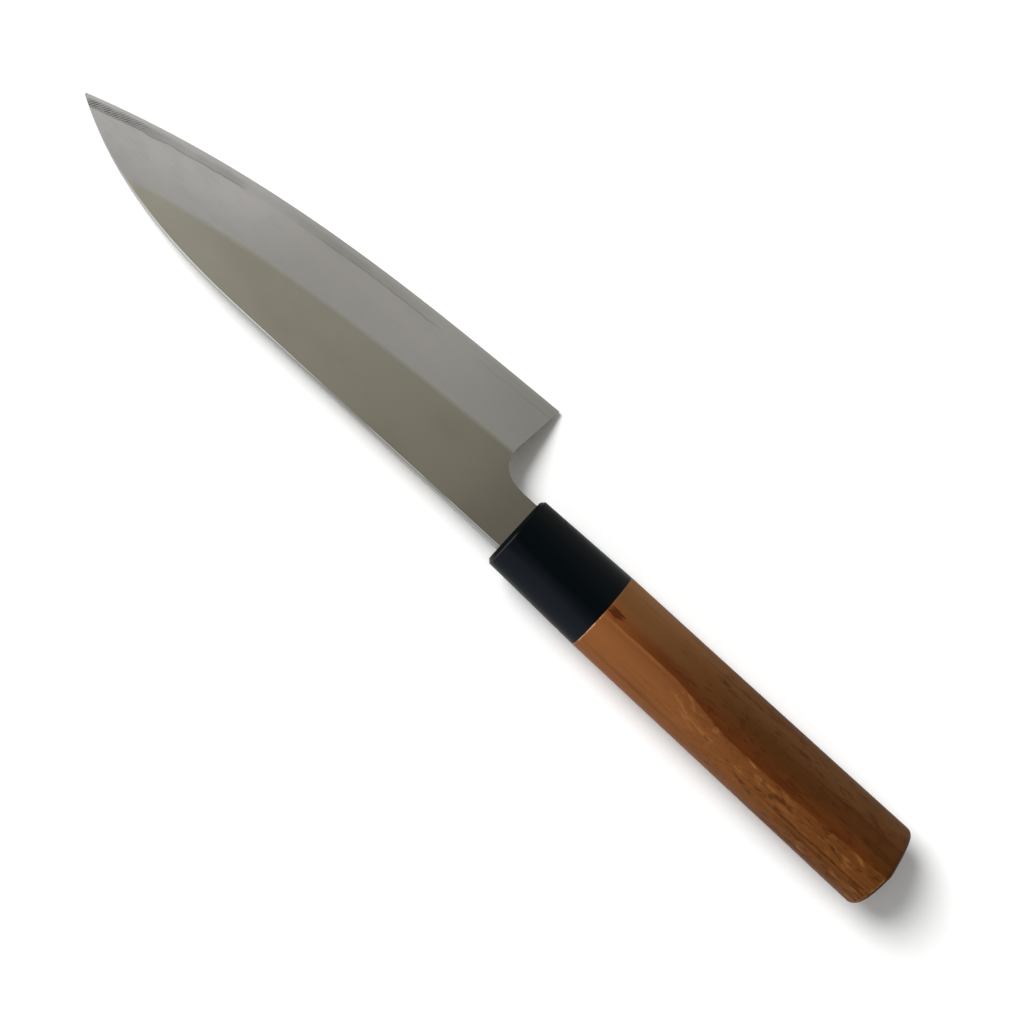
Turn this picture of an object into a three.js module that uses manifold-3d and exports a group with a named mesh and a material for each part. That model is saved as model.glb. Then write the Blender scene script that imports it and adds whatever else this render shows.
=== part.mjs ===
// Japanese kitchen knife with a single bevel, for the right hand. Millimetres, +Z up.
// The knife lies flat: the tip points to -X, the cutting edge to +Y, and the bevelled face is up.
// Four pieces: the soft iron blade body with its tang, the hard edge steel welded under it,
// the black ferrule, and the wooden handle whose tenon fills the ferrule.

import * as THREE from 'three';
import { mergeVertices } from 'three/addons/utils/BufferGeometryUtils.js';
import Module from 'manifold-3d';

// Blade, in plan. Distances along the blade start at the ferrule's front face.
const bladeLength = 165.2;
const heelSetback = 12.9;
const heelHeight = 40;
const edgeLift = 7.95;
const bellyPower = 3;
const spineDropStart = 86.5;
const spineDropPower = 2.8;
const tipOffset = 9.3;
const tipWidth = 0.6;
const choilLean = 1.4;
const choilFilletOnNeck = 9.8;
const choilFilletOnHeel = 7.9;

// Blade, through its thickness. The back is flat, and the upper face tapers towards the tip.
const neckThickness = 4;
const runOutThickness = 1.7;
const edgeLand = 0.12;
const ridgeRunOut = 141.3;
const ridgeSoftness = 0.8;
const spineEase = 0.6;
const backEase = 0.35;

// Hard steel under the blade, with its hollow back.
const steelStart = 8;
const steelAtHeel = 0.8;
const steelAtTip = 0.45;
const hollowDepth = 0.25;
const hollowStart = 18;
const hollowEnd = 152;
const hollowFade = 14;
const spineRim = 1.6;
const edgeRim = 1.2;

// Where the blade is narrower than this, or this thin, its small details shrink with it.
const fullDetailWidth = 10;
const easeThicknessShare = 0.4;
const backEaseThicknessShare = 0.2;

// Tang, inside the handle, and the shoulders by which the neck is wider than the tang.
const tangLength = 96;
const tangWidth = 11.2;
const tangEndWidth = 6;
const tangThickness = 3;
const tangEndThickness = 2.2;
const spineShoulder = 1.2;
const edgeShoulder = 2.9;

// Handle: a chestnut section, round below and drawn to a ridge, the crown, on the upper side.
// The crown leans off the middle towards the blade's spine, most of all along the grip, and it is
// soft on the ferrule and crisp at the butt.
const handleLength = 131.8;
const ferruleLength = 31.5;
const ferruleWall = 2.7;
const tenonWall = 2.5;
const fit = 0.3;
const bellyFront = 9.8;
const crownFront = 9.2;
const ferruleFlare = 1.7;
const handleFlare = 1.4;
const ferruleSwell = 0.6;
const handleSwell = 0.8;
const crownLeanFront = 0.8;
const crownLeanJoint = 1.1;
const crownLeanButt = 2.1;
const crownLeanGrip = 1.8;
const crownRoundFront = 4;
const crownRoundJoint = 2;
const crownRoundButt = 0.6;
const crownSlope = 0.34;
const ferruleChamfer = 1;
const buttRound = 1.8;
const tangHoleSpare = 2;

// Fineness of the curved faces.
const bladeStations = 64;
const stationCrowding = 1.4;
const hollowSteps = 8;
const ridgeSteps = 4;
const easeSteps = 3;
const flankSteps = 14;
const crownSteps = 6;
const bellySteps = 32;
const roundSteps = 5;
const gripSteps = 10;
const choilSteps = 14;

const cutMargin = 5;
const mergeDistance = 1e-4;

const wasm = await Module();
wasm.setup();

function solidOf(geometry) {
  const bare = geometry.clone();
  bare.deleteAttribute('normal');
  bare.deleteAttribute('uv');
  const merged = mergeVertices(bare, mergeDistance);
  return new wasm.Manifold(new wasm.Mesh({
    numProp: 3,
    vertProperties: new Float32Array(merged.attributes.position.array),
    triVerts: new Uint32Array(merged.index.array),
  }));
}

function geometryOf(solid) {
  const mesh = solid.getMesh();
  const geometry = new THREE.BufferGeometry();
  geometry.setAttribute('position', new THREE.BufferAttribute(new Float32Array(mesh.vertProperties), 3));
  geometry.setIndex(new THREE.BufferAttribute(new Uint32Array(mesh.triVerts), 1));
  geometry.computeVertexNormals();
  return geometry;
}

// Skin over a row of sections that all have the same number of points. A section is a loop in Y and
// Z that turns counter-clockwise seen from +X, and the row of sections runs towards -X.
function loft(sections) {
  const count = sections[0].loop.length;
  const positions = [];
  const index = [];
  for (const { x, loop } of sections) {
    for (const point of loop) positions.push(x, point.x, point.y);
  }
  for (let ring = 0; ring + 1 < sections.length; ring += 1) {
    for (let i = 0; i < count; i += 1) {
      const here = ring * count + i;
      const next = ring * count + (i + 1) % count;
      index.push(here, here + count, next);
      index.push(next, here + count, next + count);
    }
  }
  const last = (sections.length - 1) * count;
  for (const [a, b, c] of THREE.ShapeUtils.triangulateShape(sections[0].loop, [])) {
    index.push(a, b, c);
  }
  for (const [a, b, c] of THREE.ShapeUtils.triangulateShape(sections.at(-1).loop, [])) {
    index.push(last + a, last + c, last + b);
  }
  const geometry = new THREE.BufferGeometry();
  geometry.setAttribute('position', new THREE.Float32BufferAttribute(positions, 3));
  geometry.setIndex(index);
  return geometry;
}

// Plan curves of the blade, as a height in Y for a distance from the ferrule.
const spineLine = -(tangWidth / 2 + spineShoulder);
const neckEdge = tangWidth / 2 + edgeShoulder;
const heelLine = spineLine + heelHeight;
const spineDrop = tipOffset - tipWidth - spineLine;
const bellyRise = heelLine - edgeLift - tipOffset;

function spineAt(along) {
  const share = Math.max(0, along - spineDropStart) / (bladeLength - spineDropStart);
  return spineLine + spineDrop * share ** spineDropPower;
}

function edgeAt(along) {
  const share = (along - heelSetback) / (bladeLength - heelSetback);
  return heelLine - edgeLift * share - bellyRise * share ** bellyPower;
}

// The ridge between the flat and the bevel runs parallel to the edge until it runs out at the spine.
const bevelWidth = edgeAt(ridgeRunOut) - spineAt(ridgeRunOut);
const backLevel = -neckThickness / 2;

// Section across the blade: back with its hollow, edge, bevel, ridge, flat, and eased spine.
function bladeSection(along) {
  const spine = spineAt(along);
  const edge = edgeAt(along);
  const small = Math.min(1, (edge - spine) / fullDetailWidth);
  const soft = ridgeSoftness * small;
  const ridge = Math.max(edge - bevelWidth, spine + spineEase * small + 2 * soft);
  const taper = Math.min(1, along / ridgeRunOut);
  const slope = (THREE.MathUtils.lerp(neckThickness, runOutThickness, taper) - edgeLand) / bevelWidth;
  const thickness = edgeLand + slope * (edge - ridge);
  const top = backLevel + thickness;
  const ease = Math.min(spineEase * small, easeThicknessShare * thickness);
  const under = Math.min(backEase * small, backEaseThicknessShare * thickness);

  const hollowLow = spine + under + spineRim * small;
  const hollowHigh = edge - edgeRim * small;
  const fade = Math.min(along - hollowStart, hollowEnd - along) / hollowFade;
  const depth = hollowDepth * THREE.MathUtils.smoothstep(fade, 0, 1);
  const hollow = new THREE.QuadraticBezierCurve(
    new THREE.Vector2(hollowLow, backLevel),
    new THREE.Vector2((hollowLow + hollowHigh) / 2, backLevel + 2 * depth),
    new THREE.Vector2(hollowHigh, backLevel),
  );
  const softRidge = new THREE.QuadraticBezierCurve(
    new THREE.Vector2(ridge + soft, top - slope * soft),
    new THREE.Vector2(ridge, top),
    new THREE.Vector2(ridge - soft, top),
  );
  const easedSpine = new THREE.EllipseCurve(spine + ease, top - ease, ease, ease, Math.PI / 2, Math.PI);
  const loop = [
    new THREE.Vector2(spine + under, backLevel),
    ...hollow.getPoints(hollowSteps),
    new THREE.Vector2(edge, backLevel),
    new THREE.Vector2(edge, backLevel + edgeLand),
    ...softRidge.getPoints(ridgeSteps),
    ...easedSpine.getPoints(easeSteps),
    new THREE.Vector2(spine, backLevel + under),
  ];
  return { x: -along, loop };
}

// The stations crowd together towards the tip, where both outlines bend most.
function wholeBlade() {
  const sections = [];
  for (let station = 0; station <= bladeStations; station += 1) {
    const left = 1 - station / bladeStations;
    sections.push(bladeSection(bladeLength * (1 - left ** stationCrowding)));
  }
  return solidOf(loft(sections));
}

// Space behind the heel and below the neck, with the rounded choil between them.
function choilCutter() {
  const choilTop = heelSetback + choilLean;
  const below = heelLine + cutMargin;
  const leanPerHeight = choilLean / (heelLine - neckEdge - choilFilletOnHeel);
  const shape = new THREE.Shape();
  shape.moveTo(cutMargin, neckEdge);
  shape.lineTo(cutMargin, below);
  shape.lineTo(-heelSetback + leanPerHeight * (below - heelLine), below);
  shape.lineTo(-choilTop, neckEdge + choilFilletOnHeel);
  shape.quadraticCurveTo(-choilTop, neckEdge, choilFilletOnNeck - choilTop, neckEdge);
  const geometry = new THREE.ExtrudeGeometry(shape, {
    depth: 2 * neckThickness,
    bevelEnabled: false,
    curveSegments: choilSteps,
  });
  geometry.translate(0, 0, -neckThickness);
  return solidOf(geometry);
}

// Everything under the weld between the two steels, from the neck to past the tip.
function weldCutter() {
  const reach = heelHeight + cutMargin;
  const end = bladeLength + cutMargin;
  const steelAt = (along) => THREE.MathUtils.lerp(
    steelAtHeel,
    steelAtTip,
    (along - heelSetback) / (ridgeRunOut - heelSetback),
  );
  const slice = (along) => ({
    x: -along,
    loop: rectangle(2 * reach, backLevel - cutMargin, backLevel + steelAt(along)),
  });
  return solidOf(loft([slice(steelStart), slice(end)]));
}

function rectangle(width, low, high) {
  return [
    new THREE.Vector2(-width / 2, low),
    new THREE.Vector2(width / 2, low),
    new THREE.Vector2(width / 2, high),
    new THREE.Vector2(-width / 2, high),
  ];
}

// Tapered bar from inside the neck to deep in the handle. The hole for it is the same bar, larger.
function tangBar(start, grow, spare) {
  const slice = (x) => {
    const share = x / tangLength;
    const width = THREE.MathUtils.lerp(tangWidth, tangEndWidth, share) + 2 * grow;
    const half = THREE.MathUtils.lerp(tangThickness, tangEndThickness, share) / 2 + grow;
    return { x, loop: rectangle(width, -half, half) };
  };
  return solidOf(loft([slice(tangLength + spare), slice(start)]));
}

// Chestnut section of the handle: half an ellipse below, and two full flanks that meet in a crown.
function chestnut({ height, belly, crown, lean, round }, inset) {
  const half = height / 2 - inset;
  const low = belly - inset;
  const high = crown - inset;
  const shoulder = high - round * crownSlope / 2;
  const bendBelow = (run) => shoulder - crownSlope * (run - round);
  const edgeSide = new THREE.Vector2(half, 0);
  const edgeBend = new THREE.Vector2(half, bendBelow(half + lean));
  const edgeShoulderPoint = new THREE.Vector2(round - lean, shoulder);
  const peak = new THREE.Vector2(-lean, shoulder + round * crownSlope);
  const spineShoulderPoint = new THREE.Vector2(-round - lean, shoulder);
  const spineBend = new THREE.Vector2(-half, bendBelow(half - lean));
  const spineSide = new THREE.Vector2(-half, 0);
  const edgeFlank = new THREE.QuadraticBezierCurve(edgeSide, edgeBend, edgeShoulderPoint);
  const top = new THREE.QuadraticBezierCurve(edgeShoulderPoint, peak, spineShoulderPoint);
  const spineFlank = new THREE.QuadraticBezierCurve(spineShoulderPoint, spineBend, spineSide);
  const bottom = new THREE.EllipseCurve(0, 0, half, low, Math.PI, 2 * Math.PI);
  return [
    ...edgeFlank.getPoints(flankSteps).slice(0, -1),
    ...top.getPoints(crownSteps).slice(0, -1),
    ...spineFlank.getPoints(flankSteps).slice(0, -1),
    ...bottom.getPoints(bellySteps).slice(0, -1),
  ];
}

// Outer sizes of the handle where it starts, at the joint behind the ferrule, and at the butt.
const front = {
  x: 0,
  height: tangWidth + 2 * (tenonWall + fit + ferruleWall),
  belly: bellyFront,
  crown: crownFront,
  lean: crownLeanFront,
  round: crownRoundFront,
};
const joint = {
  x: ferruleLength,
  height: front.height + ferruleFlare,
  belly: front.belly + ferruleSwell,
  crown: front.crown + ferruleSwell,
  lean: crownLeanJoint,
  round: crownRoundJoint,
};
const butt = {
  x: handleLength,
  height: joint.height + handleFlare,
  belly: joint.belly + handleSwell,
  crown: joint.crown + handleSwell,
  lean: crownLeanButt,
  round: crownRoundButt,
};

function sizesBetween(from, to, x) {
  const share = (x - from.x) / (to.x - from.x);
  const sizes = {};
  for (const name of Object.keys(from)) sizes[name] = THREE.MathUtils.lerp(from[name], to[name], share);
  return sizes;
}

function ferruleSlice(x, inset) {
  return { x, loop: chestnut(sizesBetween(front, joint, x), inset) };
}

function gripSlice(x, inset) {
  const sizes = sizesBetween(joint, butt, x);
  const share = (x - joint.x) / (butt.x - joint.x);
  sizes.lean += crownLeanGrip * Math.sin(Math.PI * share);
  return { x, loop: chestnut(sizes, inset) };
}

// Slices round the butt's edge, from its end face to its side, and on along the grip to the joint.
function gripSlices() {
  const slices = [];
  for (let step = 0; step < roundSteps; step += 1) {
    const turn = step / roundSteps * Math.PI / 2;
    const back = buttRound * (1 - Math.cos(turn));
    slices.push(gripSlice(handleLength - back, buttRound * (1 - Math.sin(turn))));
  }
  for (let step = 0; step <= gripSteps; step += 1) {
    const x = THREE.MathUtils.lerp(handleLength - buttRound, ferruleLength, step / gripSteps);
    slices.push(gripSlice(x, 0));
  }
  return slices;
}

function tenonBar(start, end, inset) {
  const loop = chestnut(front, inset);
  return solidOf(loft([{ x: end, loop }, { x: start, loop }]));
}

function ferruleSolid() {
  const outside = solidOf(loft([
    ferruleSlice(ferruleLength, 0),
    ferruleSlice(ferruleChamfer, 0),
    ferruleSlice(0, ferruleChamfer),
  ]));
  return outside.subtract(tenonBar(-cutMargin, ferruleLength + cutMargin, ferruleWall));
}

function handleSolid() {
  const grip = solidOf(loft(gripSlices()));
  const tenon = tenonBar(0, ferruleLength + cutMargin, ferruleWall + fit);
  return grip.add(tenon).subtract(tangBar(-cutMargin, fit, tangHoleSpare));
}

function bladeSolids() {
  const blade = wholeBlade().subtract(choilCutter());
  const weld = weldCutter();
  return {
    body: blade.subtract(weld).add(tangBar(-steelStart / 2, 0, 0)),
    steel: blade.intersect(weld),
  };
}

const finishes = {
  soft_iron: new THREE.MeshStandardMaterial({ color: 0x8f8b82, roughness: 0.35, metalness: 1 }),
  hard_steel: new THREE.MeshStandardMaterial({ color: 0xb4b4b2, roughness: 0.25, metalness: 1 }),
  black_horn: new THREE.MeshStandardMaterial({ color: 0x14171a, roughness: 0.3, metalness: 0 }),
  brown_wood: new THREE.MeshStandardMaterial({ color: 0x71431f, roughness: 0.45, metalness: 0 }),
};

function piece(name, solid, finish) {
  const mesh = new THREE.Mesh(geometryOf(solid), finish);
  mesh.name = name;
  return mesh;
}

const { body, steel } = bladeSolids();
const knife = new THREE.Group();
knife.add(piece('blade_body', body, finishes.soft_iron));
knife.add(piece('edge_steel', steel, finishes.hard_steel));
knife.add(piece('ferrule', ferruleSolid(), finishes.black_horn));
knife.add(piece('handle', handleSolid(), finishes.brown_wood));

// The origin is the middle of the knife's length and height, at the level it lies on.
const box = new THREE.Box3().setFromObject(knife);
const middle = box.getCenter(new THREE.Vector3());
knife.position.set(-middle.x, -middle.y, -box.min.z);

export default knife;
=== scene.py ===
# %% [markdown]
# # Dressing a Japanese kitchen knife
#
# The knife is already built at its real size: a soft iron blade with its tang, a plate of hard steel
# welded under it, a black ferrule and a wooden handle. This lesson gives those four pieces their
# finishes, lays the knife down the way it really comes to rest, and photographs it from above.

# %% Load the knife
import math

import bmesh
import bpy
import numpy as np
from mathutils import Matrix, Vector


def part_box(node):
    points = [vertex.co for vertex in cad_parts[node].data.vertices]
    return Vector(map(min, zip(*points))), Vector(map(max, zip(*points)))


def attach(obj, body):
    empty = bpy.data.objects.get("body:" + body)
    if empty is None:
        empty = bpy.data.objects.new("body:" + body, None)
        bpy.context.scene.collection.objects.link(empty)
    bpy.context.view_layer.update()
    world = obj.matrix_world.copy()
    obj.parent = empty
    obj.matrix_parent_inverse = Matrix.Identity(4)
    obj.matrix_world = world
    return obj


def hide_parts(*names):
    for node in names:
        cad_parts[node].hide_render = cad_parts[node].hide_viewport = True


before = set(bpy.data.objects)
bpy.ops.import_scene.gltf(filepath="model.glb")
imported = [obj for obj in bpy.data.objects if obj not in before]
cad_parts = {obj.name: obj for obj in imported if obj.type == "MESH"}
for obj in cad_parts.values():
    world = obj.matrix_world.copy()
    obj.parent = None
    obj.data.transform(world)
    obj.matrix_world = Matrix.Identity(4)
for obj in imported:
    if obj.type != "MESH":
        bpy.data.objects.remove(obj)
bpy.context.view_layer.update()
scene = bpy.context.scene
scene.view_settings.view_transform = "Standard"
MM = 0.001

# %% [markdown]
# ## Arithmetic on shader sockets
#
# A finish is a formula: grain that follows the handle, a haze that stops at the ridge of the blade.
# Wiring each sum by hand hides the formula, so one small class wraps a socket and lets Python's own
# operators add the Math nodes. Every other kind of node comes from a single method.


# %% Shader helper
class Signal:
    """A shader socket that Python arithmetic can use."""

    def __init__(self, finish, socket):
        self.finish = finish
        self.socket = socket

    def math(self, operation, first, second):
        return self.finish.node("ShaderNodeMath", {"operation": operation}, {0: first, 1: second})

    def __add__(self, other):
        return self.math("ADD", self, other)

    def __radd__(self, other):
        return self.math("ADD", other, self)

    def __sub__(self, other):
        return self.math("SUBTRACT", self, other)

    def __rsub__(self, other):
        return self.math("SUBTRACT", other, self)

    def __mul__(self, other):
        return self.math("MULTIPLY", self, other)

    def __rmul__(self, other):
        return self.math("MULTIPLY", other, self)

    def __truediv__(self, other):
        return self.math("DIVIDE", self, other)

    def step(self, low, high):
        """0 below low, 1 above high, and a smooth rise between them."""
        settings = {"interpolation_type": "SMOOTHSTEP"}
        return self.finish.node("ShaderNodeMapRange", settings, {0: self, 1: low, 2: high})

    def near(self, width):
        """1 where the value is 0, and a smooth fall to 0 at the width on either side."""
        return self.step(-width, 0.0) * self.step(width, 0.0)


class Finish:
    """One node tree, of a material or of the world, and the ways to add to it."""

    def __init__(self, owner):
        owner.use_nodes = True
        self.owner = owner
        self.tree = owner.node_tree
        self.tree.nodes.clear()

    def node(self, kind, settings, sockets, output=0):
        made = self.tree.nodes.new(kind)
        for name, value in settings.items():
            setattr(made, name, value)
        for key, value in sockets.items():
            if isinstance(value, Signal):
                self.tree.links.new(value.socket, made.inputs[key])
            else:
                made.inputs[key].default_value = value
        return Signal(self, made.outputs[output]) if made.outputs else None

    def coordinates(self, kind="Object"):
        """The point on the surface, and its three numbers."""
        point = self.node("ShaderNodeTexCoord", {}, {}, kind)
        split = [self.node("ShaderNodeSeparateXYZ", {}, {0: point}, axis) for axis in range(3)]
        return point, split

    def facing(self):
        """The three numbers of the way the surface faces, on a piece that is not turned."""
        normal = self.node("ShaderNodeNewGeometry", {}, {}, "Normal")
        return [self.node("ShaderNodeSeparateXYZ", {}, {0: normal}, axis) for axis in range(3)]

    def stretched(self, point, per_metre):
        """The point with each axis counted in its own number of cells to the metre."""
        return self.node("ShaderNodeVectorMath", {"operation": "MULTIPLY"}, {0: point, 1: per_metre})

    def noise(self, point, detail=2.0, roughness=0.5):
        sockets = {"Vector": point, "Scale": 1.0, "Detail": detail, "Roughness": roughness}
        return self.node("ShaderNodeTexNoise", {}, sockets)

    def mix(self, share, first, second):
        """A colour between two colours."""
        return self.node("ShaderNodeMix", {"data_type": "RGBA"}, {0: share, 6: first, 7: second}, 2)

    def bump(self, height, distance, strength):
        sockets = {"Strength": strength, "Distance": distance, "Height": height}
        return self.node("ShaderNodeBump", {}, sockets)

    def surface(self, **sockets):
        """The shader itself, with its sockets named as in the editor but with low lines for spaces."""
        named = {name.replace("_", " "): value for name, value in sockets.items()}
        shader = self.node("ShaderNodeBsdfPrincipled", {}, named)
        self.node("ShaderNodeOutputMaterial", {}, {"Surface": shader})
        return self.owner


def srgb(red, green, blue):
    """A colour as an eight-bit screen shows it, in the light values that shaders use."""
    shown = (red / 255, green / 255, blue / 255)
    return (*(s / 12.92 if s <= 0.04045 else ((s + 0.055) / 1.055) ** 2.4 for s in shown), 1.0)


# %% [markdown]
# ## Four pieces with clean surfaces
#
# The solids arrive as loose triangles, which shade as facets. The shapes are right, so nothing is
# modelled again: a copy of each solid is merged into one skin and shaded smooth up to its real
# corners. What counts as a corner differs: the spine of the iron is rounded in coarse steps, while
# the ground strip of the steel meets the weld at only a few degrees. Weighted normals keep the large
# ground faces of the blade truly flat, so that the light turns only on the narrow ridge between them.

# %% Copy a solid
MERGE_DISTANCE = 0.001 * MM


def merged_copy(node):
    shape = bmesh.new()
    shape.from_mesh(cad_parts[node].data)
    bmesh.ops.remove_doubles(shape, verts=shape.verts, dist=MERGE_DISTANCE)
    return shape


def finished_piece(shape, name, node, corner_degrees):
    for face in shape.faces:
        face.smooth = True
    for edge in shape.edges:
        edge.smooth = edge.calc_face_angle(0.0) < math.radians(corner_degrees)
    mesh = bpy.data.meshes.new(name)
    shape.to_mesh(mesh)
    shape.free()
    piece = bpy.data.objects.new(name, mesh)
    scene.collection.objects.link(piece)
    piece.modifiers.new("flat_faces_stay_flat", "WEIGHTED_NORMAL").keep_sharp = True
    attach(piece, "root")
    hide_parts(node)
    print(name, "has", len(mesh.polygons), "faces")
    return piece


# %% [markdown]
# ## The joint between ferrule and wood
#
# The ferrule and the wood are planed flush together, and each has its corner just broken with fine
# paper, which leaves a hairline groove round the handle. A cut across the piece adds a loop of
# points a fifth of a millimetre from the end, and the end's own rim is then drawn in.

# %% Break the corner of a flat end
CORNER_BREAK = 0.2 * MM


def break_corner(shape, end, inward, middle):
    """The piece lies on the inward side of its flat end, and middle is a point on its axis."""
    everything = [*shape.verts, *shape.edges, *shape.faces]
    cut = {"plane_co": (end + inward * CORNER_BREAK, 0, 0), "plane_no": (1, 0, 0)}
    bmesh.ops.bisect_plane(shape, geom=everything, dist=MERGE_DISTANCE, **cut)

    def outside(vertex):
        out = vertex.co - middle
        out.x = 0
        return any(
            face.normal.dot(out) > 0 and (face.calc_center_median().x - end) * inward > MERGE_DISTANCE
            for face in vertex.link_faces
        )

    shape.normal_update()
    rim = [v for v in shape.verts if abs(v.co.x - end) < MERGE_DISTANCE and outside(v)]
    reach = max((v.co - middle).length for v in rim)
    shrink = 1 - CORNER_BREAK / reach
    bmesh.ops.scale(shape, vec=(1, shrink, shrink), space=Matrix.Translation(-middle), verts=rim)
    print("broke a corner of", len(rim), "points")


# %% Make the pieces
ferrule_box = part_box("ferrule")
handle_middle = (ferrule_box[0] + ferrule_box[1]) / 2
joint_x = ferrule_box[1].x
ferrule_x = ferrule_box[0].x

blade_shape = merged_copy("blade_body")
steel_shape = merged_copy("edge_steel")
ferrule_shape = merged_copy("ferrule")
handle_shape = merged_copy("handle")
break_corner(ferrule_shape, joint_x, -1, handle_middle)
break_corner(handle_shape, joint_x, 1, handle_middle)

# %% [markdown]
# ## Lines to follow
#
# The finishes follow two lines of the knife: the cutting edge, which the bevel and its steel run
# along, and the crown of the handle, where its two flanks meet. Both are smooth curves in plan, so a
# polynomial through the solids' own points gives a formula that a shader can use.


# %% Fit the edge and the crown
def curve_through(points, powers):
    """Highest power first, for Y as a function of X, both in metres."""
    return [float(c) for c in np.polyfit([p.x for p in points], [p.y for p in points], powers)]


FACES_THE_EDGE = 0.7
CROWN_DEPTH = 2 * MM

butt_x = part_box("handle")[1].x
tip_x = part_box("edge_steel")[0].x

steel_shape.normal_update()
heel = max((v.co for v in steel_shape.verts), key=lambda co: co.y).copy()
edge_faces = [f for f in steel_shape.faces if f.normal.y > FACES_THE_EDGE]
edge_line = curve_through([v.co for f in edge_faces for v in f.verts if v.co.x < heel.x], 3)

handle_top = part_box("handle")[1].z
crown_points = {}
for vertex in handle_shape.verts:
    station = round(vertex.co.x / MM)
    if vertex.co.z > max(handle_top - CROWN_DEPTH, crown_points.get(station, handle_middle).z):
        crown_points[station] = vertex.co
crown_line = curve_through(list(crown_points.values()), 4)
print("edge:", edge_line)
print("crown:", crown_line, "from", len(crown_points), "points")


def line_at(line, x):
    """The curve's Y, for a number or for a shader's X."""
    value = line[0]
    for factor in line[1:]:
        value = value * x + factor
    return value


# %% [markdown]
# ## Where the knife comes to rest
#
# A knife laid down does not lie level. It rolls until it rests on the belly of its cutting edge and
# on the front rim of its ferrule. That plane is a face of the knife's convex hull: the one that has
# the centre of mass straight above it. The floor goes there, and the knife itself is never moved.

# %% Find the resting plane
DENSITY = {"blade_body": 7850.0, "edge_steel": 7850.0, "ferrule": 1300.0, "handle": 650.0}


def mass_and_moment(node):
    """Mass of a solid, and mass times its centre, from the cones between its faces and the origin."""
    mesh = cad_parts[node].data
    mesh.calc_loop_triangles()
    mass = 0.0
    moment = Vector((0, 0, 0))
    for triangle in mesh.loop_triangles:
        a, b, c = (mesh.vertices[i].co for i in triangle.vertices)
        part = DENSITY[node] * a.dot(b.cross(c)) / 6
        mass += part
        moment += part * (a + b + c) / 4
    return mass, moment


def resting_plane():
    """A point on the floor under the centre of mass, and the floor's upward normal."""
    parts = [mass_and_moment(node) for node in DENSITY]
    balance = sum((moment for _, moment in parts), Vector()) / sum(mass for mass, _ in parts)
    hull = bmesh.new()
    for node in DENSITY:
        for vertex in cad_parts[node].data.vertices:
            hull.verts.new(vertex.co)
    bmesh.ops.convex_hull(hull, input=hull.verts, use_existing_faces=False)
    hull.normal_update()
    best = None
    for face in hull.faces:
        under = balance - face.normal * (balance - face.verts[0].co).dot(face.normal)
        if face.normal.z < 0 and bmesh.geometry.intersect_face_point(face, under):
            if best is None or face.normal.z < best[1].z:
                best = (under, face.normal.copy())
    hull.free()
    return best[0], -best[1]


floor_point, floor_up = resting_plane()
print("floor normal:", [round(n, 4) for n in floor_up])

# %% [markdown]
# ## Camera
#
# The photograph looks almost straight down on the floor from quite near, which is why the butt of the
# handle seems to bulge: its crown is closer to the lens than its flanks. The camera here stands at
# the same height, leans a little over the spine, and is turned in the same way about the vertical.

# %% Set up the camera
CAMERA_HEIGHT = 400 * MM
CAMERA_LENS = 51.7
CAMERA_TURN = math.radians(42.6)
CAMERA_LEAN_TO_TIP = math.radians(0.56)
CAMERA_LEAN_TO_SPINE = math.radians(1.73)
FERRULE_RIGHT_OF_CENTRE = 0.7 * MM
FERRULE_BELOW_CENTRE = 4.9 * MM

floor_x = (Vector((1, 0, 0)) - floor_up * floor_up.x).normalized()
floor_y = floor_up.cross(floor_x)
lean = math.tan(CAMERA_LEAN_TO_TIP) * floor_x + math.tan(CAMERA_LEAN_TO_SPINE) * floor_y
sight = (floor_up - lean).normalized()
sight_x = (Vector((1, 0, 0)) - sight * sight.x).normalized()
sight_y = sight.cross(sight_x)
picture_right = math.cos(CAMERA_TURN) * sight_x + math.sin(CAMERA_TURN) * sight_y
picture_up = sight.cross(picture_right)


def on_floor(point):
    return point - sight * (point - floor_point).dot(floor_up)


seen = on_floor(Vector((ferrule_x, handle_middle.y, handle_middle.z)))
looks_at = seen - FERRULE_RIGHT_OF_CENTRE * picture_right + FERRULE_BELOW_CENTRE * picture_up
camera = bpy.data.objects.new("camera", bpy.data.cameras.new("camera"))
camera.data.lens = CAMERA_LENS
turn = Matrix((picture_right, picture_up, sight)).transposed()
camera.matrix_world = Matrix.Translation(looks_at + CAMERA_HEIGHT * sight) @ turn.to_4x4()
scene.collection.objects.link(camera)
scene.camera = camera
print("camera at, mm:", [round(c / MM) for c in camera.location])

# %% [markdown]
# ## Floor and light
#
# The knife lies on a white sheet. Soft light comes mostly from one side, past the tip, so the shadow
# falls behind the butt and into the corner under the heel. Straight above and towards the butt it is
# dark, as under the unlit ceiling of a room, and the polished blade mirrors that as an olive grey
# which pales towards the tip. So the sky of this studio is dark round one direction and
# white low down all round. A sun lamp with a wide disc gives the main light, because its light is
# even over the whole sheet. Mirrors do not show it: the sky already holds its glow.

# %% Floor
FLOOR_HALF_SIDE = 1.6
FLOOR_WHITE = 0.96

floor_shape = bmesh.new()
bmesh.ops.create_grid(floor_shape, x_segments=1, y_segments=1, size=FLOOR_HALF_SIDE)
level = Matrix((floor_x, floor_y, floor_up)).transposed().to_4x4()
floor_shape.transform(Matrix.Translation(floor_point) @ level)
floor_mesh = bpy.data.meshes.new("floor")
floor_shape.to_mesh(floor_mesh)
floor_shape.free()
floor = bpy.data.objects.new("floor", floor_mesh)
scene.collection.objects.link(floor)

paper = Finish(bpy.data.materials.new("white_sheet"))
white = (FLOOR_WHITE, FLOOR_WHITE, FLOOR_WHITE, 1.0)
floor_mesh.materials.append(paper.surface(Base_Color=white, Roughness=1.0, Specular_IOR_Level=0.0))
print("floor side, m:", 2 * FLOOR_HALF_SIDE)

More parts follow.
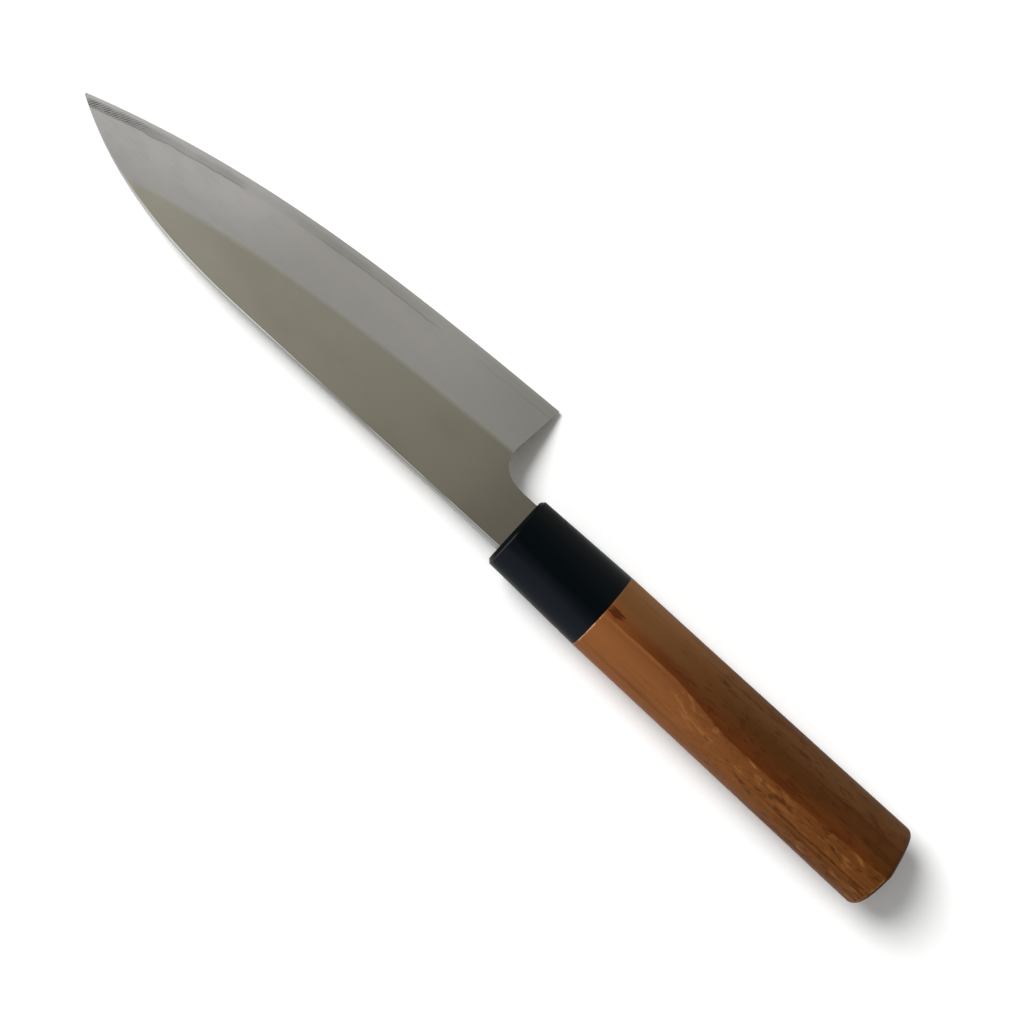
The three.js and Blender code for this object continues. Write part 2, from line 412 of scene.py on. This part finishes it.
# %% World
# The two pairs are angles, at which the dark begins and at which it is full. The first pair is
# measured from the middle of the dark, the second from straight up. The bright part has a trace of
# blue, which keeps the shadow grey beside the warm wood.
DARK_TILT_TO_BUTT = math.radians(45)
DARK_SPREAD = (math.radians(120), math.radians(34))
DARK_RIM = (math.radians(77), math.radians(58))
DARK_COLOUR = (0.09, 0.08, 0.055, 1.0)
BRIGHT_COLOUR = (1.0, 1.02, 1.045, 1.0)

world = bpy.data.worlds.new("studio")
scene.world = world
studio = Finish(world)
direction, _ = studio.coordinates("Generated")


def angle_from(axis):
    dot = {"operation": "DOT_PRODUCT"}
    cosine = studio.node("ShaderNodeVectorMath", dot, {0: direction, 1: axis}, "Value")
    return studio.node("ShaderNodeMath", {"operation": "ARCCOSINE"}, {0: cosine})


dark_axis = math.cos(DARK_TILT_TO_BUTT) * floor_up + math.sin(DARK_TILT_TO_BUTT) * floor_x
dark = angle_from(dark_axis).step(*DARK_SPREAD) * angle_from(floor_up).step(*DARK_RIM)
sky = studio.mix(dark, BRIGHT_COLOUR, DARK_COLOUR)
background = studio.node("ShaderNodeBackground", {}, {"Color": sky, "Strength": 1.0})
studio.node("ShaderNodeOutputWorld", {}, {"Surface": background})
print("middle of the dark sky:", [round(n, 2) for n in dark_axis])

# %% Lamp
LAMP_FROM_TIP = math.radians(6)
LAMP_ELEVATION = math.radians(43)
LAMP_DISC = math.radians(28)
LAMP_STRENGTH = 3.5

lamp_data = bpy.data.lights.new("window", "SUN")
lamp_data.angle = LAMP_DISC
lamp_data.energy = LAMP_STRENGTH
lamp = bpy.data.objects.new("window", lamp_data)
lamp_side = math.sin(LAMP_FROM_TIP) * floor_y - math.cos(LAMP_FROM_TIP) * floor_x
lamp_way = math.cos(LAMP_ELEVATION) * lamp_side + math.sin(LAMP_ELEVATION) * floor_up
lamp.location = floor_point + lamp_way
lamp.rotation_euler = lamp_way.to_track_quat("Z", "Y").to_euler()
lamp.visible_glossy = False
scene.collection.objects.link(lamp)
print("light comes from:", [round(n, 2) for n in lamp_way])

# %% [markdown]
# ## Iron and steel
#
# The flat of the blade is polished and mirrors the studio. The bevel below the ridge is ground on
# stones, which leaves an even haze with faint clouds in it. Its colour is also painted paler towards
# the tip and darker at the heel and along the ridge, which is painted reflection. A painted image
# could hold all this, but it would have to be fitted to the blade. Here every mark is a mask instead:
# a number from 0 to 1 that is worked out from the distance to the edge or to the tip, and that mixes
# one colour in. A pair of places is where a mask begins and where it is full. The cells of a noise
# are counted to the metre, along the knife, across it and upwards, so fewer cells along it make
# longer marks.

# %% Haze and painted reflection of the bevel
BEVEL_WIDTH = 18.1 * MM
BEVEL_COLOUR = srgb(198, 194, 188)
# The colours at the tip, the heel and the ridge are painted reflection.
BEVEL_REFLECTION_AT_TIP = srgb(218, 214, 210)
BEVEL_REFLECTION_AT_HEEL = srgb(174, 172, 165)
BEVEL_REFLECTION_AT_RIDGE = srgb(188, 185, 179)
BEVEL_REFLECTION_PALES = (80 * MM, 45 * MM)
BEVEL_REFLECTION_DARKENS = (112 * MM, 152 * MM)
CLOUD_COLOUR = srgb(182, 181, 180)
STROKE_CELLS = (50, 1500, 1500)


def bevel_haze_and_reflection(finish, point, from_tip, from_edge, clouds):
    strokes = finish.noise(finish.stretched(point, STROKE_CELLS), 3.0)
    # Painted reflection: paler towards the tip, darker towards the heel and along the ridge.
    colour = finish.mix(from_tip.step(*BEVEL_REFLECTION_PALES), BEVEL_COLOUR, BEVEL_REFLECTION_AT_TIP)
    colour = finish.mix(from_tip.step(*BEVEL_REFLECTION_DARKENS), colour, BEVEL_REFLECTION_AT_HEEL)
    near_ridge = from_edge.step(0.3 * BEVEL_WIDTH, BEVEL_WIDTH)
    colour = finish.mix(0.5 * near_ridge, colour, BEVEL_REFLECTION_AT_RIDGE)
    return finish.mix((clouds - 0.45) * 0.9 + (strokes - 0.5) * 0.35, colour, CLOUD_COLOUR)


# %% [markdown]
# ## The strip of hard steel
#
# The haze runs over the weld from the iron to the steel, so both pieces take it from one function.
# A broken, slightly wavy hairline shows where the steel begins. Beside it the steel is a little
# duller, and it pales again at the cutting edge. Nearest the tip the last strokes on a coarse stone
# still cross it. A sine along the blade gives evenly spaced strokes, and adding a share of the
# distance to the edge slants them.

# %% Weld and edge
STEEL_BAND = 3.5 * MM
SCRATCH_COLOUR = srgb(92, 92, 92)
WELD_WAVER = 1.0 * MM
WELD_CELLS = (190, 190, 190)
BREAK_CELLS = (70, 70, 70)
HAIRLINE = 0.4 * MM
HAIRLINE_GROWS = (135 * MM, 95 * MM)
DULL_STARTS = (-0.1 * MM, 0.15 * MM)
DULL_STRIP = 2.6 * MM
DULL_GROWS = (115 * MM, 85 * MM)
EDGE_COLOUR = srgb(240, 240, 238)
EDGE_STRIP = 1.6 * MM
EDGE_PALES = (45 * MM, 12 * MM)


def steel_strip(finish, point, from_tip, from_edge, colour):
    breaks = finish.noise(finish.stretched(point, BREAK_CELLS), 3.0).step(0.4, 0.6)
    waver = finish.noise(finish.stretched(point, WELD_CELLS), 3.0) - 0.5
    in_steel = STEEL_BAND - from_edge + WELD_WAVER * waver
    hairline = in_steel.near(HAIRLINE) * breaks * (0.14 + 0.24 * from_tip.step(*HAIRLINE_GROWS))
    colour = finish.mix(hairline, colour, SCRATCH_COLOUR)
    dull = in_steel.step(*DULL_STARTS) * in_steel.step(DULL_STRIP, 0.5 * DULL_STRIP)
    dull = dull * (0.06 + 0.14 * breaks) * from_tip.step(*DULL_GROWS)
    colour = finish.mix(dull, colour, SCRATCH_COLOUR)
    pale = from_edge.step(EDGE_STRIP, 0.2 * EDGE_STRIP)
    return finish.mix(pale * (0.12 + 0.25 * from_tip.step(*EDGE_PALES)), colour, EDGE_COLOUR)


# %% Strokes of the coarse stone
HATCH_PITCH = 0.85 * MM
HATCH_SLANT = 0.5
HATCH_WAVER = 6.0
HATCH_STARTS = (1 * MM, 3 * MM)
HATCH_LENGTH = 26 * MM
RUB_CELLS = (420, 420, 420)


def coarse_strokes(finish, point, x, from_edge, clouds):
    """How strongly the strokes show, from 0 to 1."""
    from_tip = x - tip_x
    turns = (x + HATCH_SLANT * from_edge) * (2 * math.pi / HATCH_PITCH) + HATCH_WAVER * clouds
    hatch = finish.node("ShaderNodeMath", {"operation": "SINE"}, {0: turns}).step(-0.5, 0.5)
    reach = from_tip.step(HATCH_LENGTH, 0.4 * HATCH_LENGTH) * from_tip.step(*HATCH_STARTS)
    reach = reach * from_edge.step(STEEL_BAND, 0.85 * STEEL_BAND)
    reach = reach * from_edge.step(0.2 * STEEL_BAND, 0.5 * STEEL_BAND)
    rubbed = 0.4 + 0.6 * finish.noise(finish.stretched(point, RUB_CELLS), 2.0).step(0.3, 0.6)
    return (0.1 + 0.8 * hatch * rubbed) * reach


# %% Ground bevel
CLOUD_CELLS = (110, 240, 240)


def ground_bevel(finish, point, x, from_edge):
    from_tip = x - tip_x
    clouds = finish.noise(finish.stretched(point, CLOUD_CELLS), 4.0, 0.6)
    colour = bevel_haze_and_reflection(finish, point, from_tip, from_edge, clouds)
    colour = steel_strip(finish, point, from_tip, from_edge, colour)
    return finish.mix(coarse_strokes(finish, point, x, from_edge, clouds), colour, SCRATCH_COLOUR)


# %% [markdown]
# ## The whole blade
#
# The bevel ends at the ridge, which a hand holding the blade on the stone never makes quite straight,
# so a slow noise bends its mask. The spine and the choil are left as the grinding wheel leaves them.
# The grey of the spine face is painted darker near the neck and paler towards the tip, which is
# painted reflection, and the faces of the choil and the neck carry painted shade. The corner above
# the spine carries a painted highlight in broken lengths. These faces are found by the way they face
# and not by their place, because a ground face keeps its direction along the whole blade.

# %% Values of the blade
FLAT_COLOUR = srgb(208, 203, 187)
FLAT_STAIN = srgb(200, 195, 178)
# Painted shade: the flat darkens from a little before the heel to the ferrule.
FLAT_SHADE_NEAR_FERRULE = srgb(187, 182, 168)
STAIN_CELLS = (30, 50, 50)
NECK_SHADE = 12 * MM
RIDGE_BLEND = 1.2 * MM
RIDGE_WAVER = 2.0 * MM
RIDGE_CELLS = (55, 55, 55)
UPWARDS = (0.0, 0.5)
WHEEL_FACING = (-0.4, -0.7)
WHEEL_COLOURS = (srgb(146, 146, 145), srgb(190, 190, 188))
WHEEL_REFLECTION_PALES = (110 * MM, 30 * MM)
CORNER_FACING = (-0.06, -0.16)
# Painted highlight on the corner above the spine.
CORNER_HIGHLIGHT_COLOUR = srgb(242, 242, 240)
CORNER_BRIGHTENS = (110 * MM, 70 * MM)
CORNER_STARTS = (22 * MM, 45 * MM)
GLINT_CELLS = (60, 60, 60)
CHOIL_FACING = (0.3, 0.7)
NECK_FACING = (0.4, 0.7)
NECK_BLEND = 1 * MM
# Painted shade on the faces of the choil and the neck.
CHOIL_SHADE = srgb(84, 84, 82)
FLAT_ROUGHNESS = 0.2
BEVEL_ROUGHNESS = 0.42
POLISH_CELLS = (70, 5200, 5200)
POLISH_DEPTH = 0.004 * MM


# %% Blade finish
def blade_finish(name):
    finish = Finish(bpy.data.materials.new(name))
    point, (x, y, _) = finish.coordinates()
    face_x, face_y, face_z = finish.facing()
    from_tip = x - tip_x
    from_edge = line_at(edge_line, x) - y
    waver = finish.noise(finish.stretched(point, RIDGE_CELLS), 3.0) - 0.5
    below_ridge = BEVEL_WIDTH - from_edge + RIDGE_WAVER * waver
    bevel = below_ridge.step(-RIDGE_BLEND, RIDGE_BLEND) * face_z.step(*UPWARDS)
    wheel = face_y.step(*WHEEL_FACING)
    # Painted highlight on the corner above the spine, broken into lengths by a noise.
    glint = finish.noise(finish.stretched(point, GLINT_CELLS), 2.0).step(0.35, 0.6)
    glint = (0.2 + 0.4 * glint + 0.4 * from_tip.step(*CORNER_BRIGHTENS)) * from_tip.step(*CORNER_STARTS)
    corner = face_y.step(*CORNER_FACING) * (1 - wheel) * glint
    neck = face_y.step(*NECK_FACING) * x.step(heel.x - NECK_BLEND, heel.x)
    choil = face_x.step(*CHOIL_FACING) + neck
    stains = finish.noise(finish.stretched(point, STAIN_CELLS), 3.0)
    polish = finish.noise(finish.stretched(point, POLISH_CELLS), 3.0)

    colour = finish.mix(stains.step(0.4, 0.65), FLAT_COLOUR, FLAT_STAIN)
    # Painted shade on the flat near the ferrule.
    colour = finish.mix(x.step(heel.x - NECK_SHADE, ferrule_x), colour, FLAT_SHADE_NEAR_FERRULE)
    colour = finish.mix(bevel, colour, ground_bevel(finish, point, x, from_edge))
    # The painted highlight of the spine's corner.
    colour = finish.mix(corner, colour, CORNER_HIGHLIGHT_COLOUR)
    # The ground grey of the spine face, painted darker near the neck and paler towards the tip as
    # painted reflection.
    colour = finish.mix(wheel, colour, finish.mix(from_tip.step(*WHEEL_REFLECTION_PALES), *WHEEL_COLOURS))
    # Painted shade on the faces of the choil and the neck.
    colour = finish.mix(choil, colour, CHOIL_SHADE)
    ground = bevel + wheel
    roughness = FLAT_ROUGHNESS + (BEVEL_ROUGHNESS - FLAT_ROUGHNESS) * ground + 0.06 * (polish - 0.5)
    return finish.surface(
        Base_Color=colour,
        Metallic=1 - 0.6 * corner,
        Roughness=roughness,
        Normal=finish.bump(polish, POLISH_DEPTH, 0.35),
    )


# %% [markdown]
# ## Ferrule
#
# The ferrule is black and smooth, polished by hand. A lighter, bluish band along its spine side and a
# dull one along the other are painted reflections. A thin line a millimetre behind the front corner
# on the spine side is a painted highlight, and the front face is darkened as painted shade. The
# bands are two masks across the handle. A noise that is drawn out lengthwise bends them, which looks
# more like grown horn than straight stripes would.

# %% Ferrule finish
HORN_BLACK = srgb(5, 9, 11)
HORN_FRONT_SHADE = srgb(3, 5, 6)
# A painted highlight line behind the front corner.
HORN_HIGHLIGHT = srgb(66, 68, 72)
# The two bands are painted reflections.
HORN_BLUE_REFLECTION = srgb(23, 27, 32)
HORN_DULL_REFLECTION = srgb(12, 14, 14)
STREAK_AND_REFLECTION_CELLS = (25, 420, 420)
REFLECTION_WAVER = 5 * MM
BLUE_REFLECTION_PLACE = (-3 * MM, -9 * MM)
DULL_REFLECTION_PLACE = (3 * MM, 10 * MM)
HIGHLIGHT_STARTS = (0.9 * MM, 1.05 * MM)
HIGHLIGHT_ENDS = (1.5 * MM, 1.1 * MM)
HIGHLIGHT_SIDE = (0.0, -4 * MM)
FRONT_FACING = (-0.3, -0.6)
HORN_ROUGHNESS = 0.34
OILED_GLOSS = 0.03


def ferrule_finish():
    finish = Finish(bpy.data.materials.new("black_ferrule"))
    point, (x, y, _) = finish.coordinates()
    face_x, _, _ = finish.facing()
    streaks = finish.noise(finish.stretched(point, STREAK_AND_REFLECTION_CELLS), 3.0) - 0.5
    across = y - handle_middle.y + REFLECTION_WAVER * streaks
    behind_front = x - ferrule_x
    # Painted reflections: a bluish band on the spine side and a dull one on the other.
    colour = finish.mix(across.step(*BLUE_REFLECTION_PLACE), HORN_BLACK, HORN_BLUE_REFLECTION)
    colour = finish.mix(across.step(*DULL_REFLECTION_PLACE), colour, HORN_DULL_REFLECTION)
    # Painted highlight: a thin line behind the front corner on the spine side.
    front_highlight = behind_front.step(*HIGHLIGHT_STARTS) * behind_front.step(*HIGHLIGHT_ENDS)
    colour = finish.mix(front_highlight * across.step(*HIGHLIGHT_SIDE) * 0.7, colour, HORN_HIGHLIGHT)
    # Painted shade on the front face.
    colour = finish.mix(face_x.step(*FRONT_FACING), colour, HORN_FRONT_SHADE)
    return finish.surface(
        Base_Color=colour,
        Roughness=HORN_ROUGHNESS + 0.12 * streaks,
        Specular_IOR_Level=OILED_GLOSS,
    )


# %% [markdown]
# ## Tones of the wood
#
# The handle is a dense red-brown wood, oiled rather than varnished. Its flank on the spine side is a
# warm, lighter brown. From the crown on, the other flank starts with a dark red streak and pales to
# olive at its far side, and all of it darkens towards the butt. The lighter spine flank and the darker
# other flank are partly the wood's own tones and partly painted light and shade, and the olive at the
# far side is a painted sheen. An image of a plank would cross the crown anywhere. Tones that are
# mixed by the distance from the crown follow it along the whole grip.

# %% Flanks of the handle
# Each pair of colours is the tone at the ferrule and the tone at the butt.
SPINE_FLANK = (srgb(129, 80, 45), srgb(100, 59, 26))
RED_STREAK = (srgb(110, 63, 31), srgb(82, 42, 16))
EDGE_FLANK = (srgb(98, 64, 35), srgb(68, 38, 12))
# The olive of the far side is a painted sheen.
FAR_SIDE_SHEEN = (srgb(107, 73, 44), srgb(80, 51, 26))
EDGE_FLANK_PLACE = (1 * MM, 6 * MM)
FAR_SIDE_SHEEN_PLACE = (7 * MM, 13 * MM)
RED_GLOW_PLACE = (-6 * MM, 0.0)
RED_NARROWS = 4 * MM


def flank_tones(finish, across, lit, along):
    early = along.step(0.0, 0.55)
    late = along.step(-0.1, 1.0)
    red = finish.mix(along.step(-0.02, 0.22), *RED_STREAK)
    past_red = across + RED_NARROWS * along.step(0.85, 1.0)
    wood = finish.mix(past_red.step(*EDGE_FLANK_PLACE), red, finish.mix(early, *EDGE_FLANK))
    # Painted sheen: the far side of the edge flank pales to olive.
    wood = finish.mix(across.step(*FAR_SIDE_SHEEN_PLACE), wood, finish.mix(early, *FAR_SIDE_SHEEN))
    spine_flank = finish.mix(late, *SPINE_FLANK)
    spine_flank = finish.mix(0.35 * across.step(*RED_GLOW_PLACE), spine_flank, red)
    # The spine flank is the lit side, and its lighter tone is partly painted light.
    return finish.mix(lit, wood, spine_flank)


# %% [markdown]
# ## Figure, flecks and marks
#
# Wavy pale figure crosses the lighter flank, and dark pores, flecks and blotches thicken towards the
# butt, where one dark seam also runs along the grain. Each is a noise that is stretched along the
# handle by its own amount and cut off at a level: a high cut leaves only a few flecks. A fine painted
# highlight runs along the front of the crown. The wood has one dark spot beside the ferrule, and a
# painted highlight where its front corner is broken.

# %% Pale figure
PALE_FIGURE = srgb(158, 106, 62)
FIGURE_SLANT = 1.6
FIGURE_CELLS = (150, 520, 520)
FIGURE_PLACE = (-8 * MM, -2 * MM)
CREST_HIGHLIGHT_PLACE = (-0.7 * MM, -0.3 * MM)


def pale_figure(finish, place, tone, lit, along):
    """How much of the pale colour shows: waves on the lit flank, and a fine painted highlight on the
    crown.
    """
    x, y, z = place
    slanted = finish.node("ShaderNodeCombineXYZ", {}, {0: x + FIGURE_SLANT * y, 1: y, 2: z})
    waves = finish.noise(finish.stretched(slanted, FIGURE_CELLS), 4.0, 0.6).step(0.5, 0.66)
    middle = along.step(0.1, 0.35) * along.step(0.75, 0.5) * tone.step(*FIGURE_PLACE)
    near_butt = 0.7 * along.step(0.6, 0.85)
    # The fine line along the crown is a painted highlight.
    crest_highlight = tone.step(*CREST_HIGHLIGHT_PLACE) * along.step(0.02, 0.06) * along.step(0.3, 0.15)
    return lit * (middle + near_butt) * waves * 0.5 + 0.16 * lit * crest_highlight


# %% Dark spot
DARK_SPOT_COLOUR = srgb(60, 24, 8)
DARK_SPOT_PLACE = (2.6 * MM, 1.0 * MM)
DARK_SPOT_SIZE = (2.1 * MM, 1.3 * MM)


def dark_spot(from_joint, from_crown, pores):
    """An oval with a ragged rim."""
    off_x = (from_joint - DARK_SPOT_PLACE[0]) / DARK_SPOT_SIZE[0]
    off_y = (from_crown - DARK_SPOT_PLACE[1]) / DARK_SPOT_SIZE[1]
    return 0.8 * (off_x * off_x + off_y * off_y + 7 * (pores - 0.5)).step(1.3, 0.5)


# %% [markdown]
# ## The ends of the wood
#
# Where the wood is cut across, at the butt and in the mouth of the ferrule, the years show as rings.
# They are circles round the heart of the tree, which lies well outside so small a piece, and a noise
# keeps them from looking turned on a lathe. The dark end colour reaches a little round the rim of
# the butt as painted shade, and the rounded rim carries a painted highlight on its lit side.

# %% End grain
# Dark end grain, which also lays painted shade along the rim of the butt.
END_GRAIN_AND_SHADE = (srgb(52, 28, 11), srgb(78, 45, 21))
RING_PITCH = 1.5 * MM
RING_WAVER = 1.5 * MM
RING_CELLS = (120, 120, 120)
END_PORE_CELLS = (900, 1900, 1900)
HEART_OF_TREE = (-24 * MM, 19 * MM)


def growth_rings(finish, point, y, z):
    """0 to 1 across each year's ring."""
    off_y = y - handle_middle.y - HEART_OF_TREE[0]
    off_z = z - handle_middle.z - HEART_OF_TREE[1]
    radius = finish.node("ShaderNodeMath", {"operation": "SQRT"}, {0: off_y * off_y + off_z * off_z})
    waver = finish.noise(finish.stretched(point, RING_CELLS), 2.0)
    turns = (radius + RING_WAVER * waver) / RING_PITCH
    ring = finish.node("ShaderNodeMath", {"operation": "FRACT"}, {0: turns})
    pores = finish.noise(finish.stretched(point, END_PORE_CELLS), 2.0)
    return (0.75 * ring + 1.2 * (pores - 0.5)).step(0.1, 0.9)


# %% Values of the wood
TONE_SHIFTS = (0.9 * MM, -1.2 * MM, 1.8 * MM)
TONE_SHIFT_PLACES = ((50 * MM, 74 * MM), (72 * MM, 95 * MM))
TONE_WAVER = 4 * MM
LIT_BLEND = 0.35 * MM
LIT_WAVER = 0.8 * MM
STREAK_COLOUR = srgb(54, 25, 7)
DRIFT_CELLS = (30, 160, 160)
GRAIN_CELLS = (24, 560, 560)
PORE_CELLS = (200, 2400, 2400)
FLECK_CELLS = (230, 760, 760)
BLOTCH_CELLS = (120, 300, 300)
SEAM_OFFSET = -9.4 * MM
SEAM_WIDTH = 0.45 * MM
SEAM_WAVER = 1.2 * MM
# A painted highlight at the broken front corner of the wood.
FRONT_CORNER_HIGHLIGHT = srgb(186, 146, 112)
FRONT_CORNER_HIGHLIGHT_PLACE = (0.5 * MM, 0.2 * MM)
# A painted highlight on the rounded rim of the butt.
RIM_HIGHLIGHT = srgb(158, 102, 48)
RIM_FACING = (0.1, 0.4)
END_FACING = (0.4, 0.65)
TENON_END_PLACE = (-0.1 * MM, -0.3 * MM)
WOOD_ROUGHNESS = 0.45
GRAIN_DEPTH = 0.03 * MM


# %% Wood finish
def wood_finish():
    finish = Finish(bpy.data.materials.new("brown_wood"))
    point, (x, y, z) = finish.coordinates()
    face_x, _, _ = finish.facing()
    from_joint = x - joint_x
    from_crown = y - line_at(crown_line, x)
    along = from_joint / (butt_x - joint_x)
    drift = finish.noise(finish.stretched(point, DRIFT_CELLS), 2.0) - 0.5
    grain = finish.noise(finish.stretched(point, GRAIN_CELLS), 4.0, 0.6)
    pores = finish.noise(finish.stretched(point, PORE_CELLS), 3.0, 0.6)
    flecks = finish.noise(finish.stretched(point, FLECK_CELLS), 5.0, 0.68)
    blotches = finish.noise(finish.stretched(point, BLOTCH_CELLS), 3.0, 0.6)

    tone = from_crown + TONE_SHIFTS[0]
    for shift, place in zip(TONE_SHIFTS[1:], TONE_SHIFT_PLACES):
        tone = tone + shift * x.step(*place)
    lit = (tone + LIT_WAVER * (flecks - 0.5)).step(LIT_BLEND, -LIT_BLEND)
    wood = flank_tones(finish, tone + TONE_WAVER * drift, lit, along)
    wood = finish.mix(pale_figure(finish, (x, y, z), tone, lit, along), wood, PALE_FIGURE)

    reach = (1 - lit) * along.step(0.1, 0.4) + lit * along.step(0.12, 0.65)
    fleck = flecks.step(0.53, 0.65) * reach * 0.6
    pore = pores.step(0.6, 0.72) * (0.08 + 0.55 * along)
    off_seam = y - handle_middle.y - SEAM_OFFSET + SEAM_WAVER * drift
    seam = off_seam.near(SEAM_WIDTH) * along.step(0.55, 0.7) * flecks.step(0.35, 0.5) * 0.7
    streak = grain.step(0.5, 0.75) * (0.25 + 0.45 * along)
    blotch = blotches.step(0.5, 0.66) * along.step(0.2, 0.6) * 0.3
    for mark in (streak, blotch, fleck, pore, seam):
        wood = finish.mix(mark, wood, STREAK_COLOUR)

    wood = finish.mix(dark_spot(from_joint, from_crown, pores), wood, DARK_SPOT_COLOUR)
    # Painted highlight where the front corner of the wood is broken, on the lit side.
    front_corner_highlight = from_joint.step(*FRONT_CORNER_HIGHLIGHT_PLACE) * lit * flecks.step(0.4, 0.6) * 0.7
    wood = finish.mix(front_corner_highlight, wood, FRONT_CORNER_HIGHLIGHT)
    # Painted highlight on the lit side of the rounded rim of the butt.
    glint = face_x.step(*RIM_FACING) * lit * flecks.step(0.35, 0.6) * 0.6
    wood = finish.mix(glint, wood, RIM_HIGHLIGHT)
    # End grain and rings, which also lay painted shade along the rim of the butt.
    end = face_x.step(*END_FACING) + from_joint.step(*TENON_END_PLACE)
    wood = finish.mix(end, wood, finish.mix(growth_rings(finish, point, y, z), *END_GRAIN_AND_SHADE))
    return finish.surface(
        Base_Color=wood,
        Roughness=WOOD_ROUGHNESS + 0.2 * (grain - 0.5),
        Specular_IOR_Level=OILED_GLOSS,
        Normal=finish.bump(grain - pore - fleck, GRAIN_DEPTH, 0.4),
    )


# %% [markdown]
# ## Putting the finishes on
#
# Each piece is named, takes the place of its solid and gets its finish. The last number is the least
# angle, in degrees, that counts as a corner on that piece.

# %% Finish the pieces
for shape, name, node, slot, material, corner_degrees in (
    (blade_shape, "blade", "blade_body", "soft_iron", blade_finish("polished_iron"), 40),
    (steel_shape, "cutting_edge", "edge_steel", "hard_steel", blade_finish("honed_steel"), 3),
    (ferrule_shape, "black_ring", "ferrule", "black_ferrule", ferrule_finish(), 25),
    (handle_shape, "wooden_handle", "handle", "brown_wood", wood_finish(), 25),
):
    finished_piece(shape, name, node, corner_degrees).data.materials.append(material)
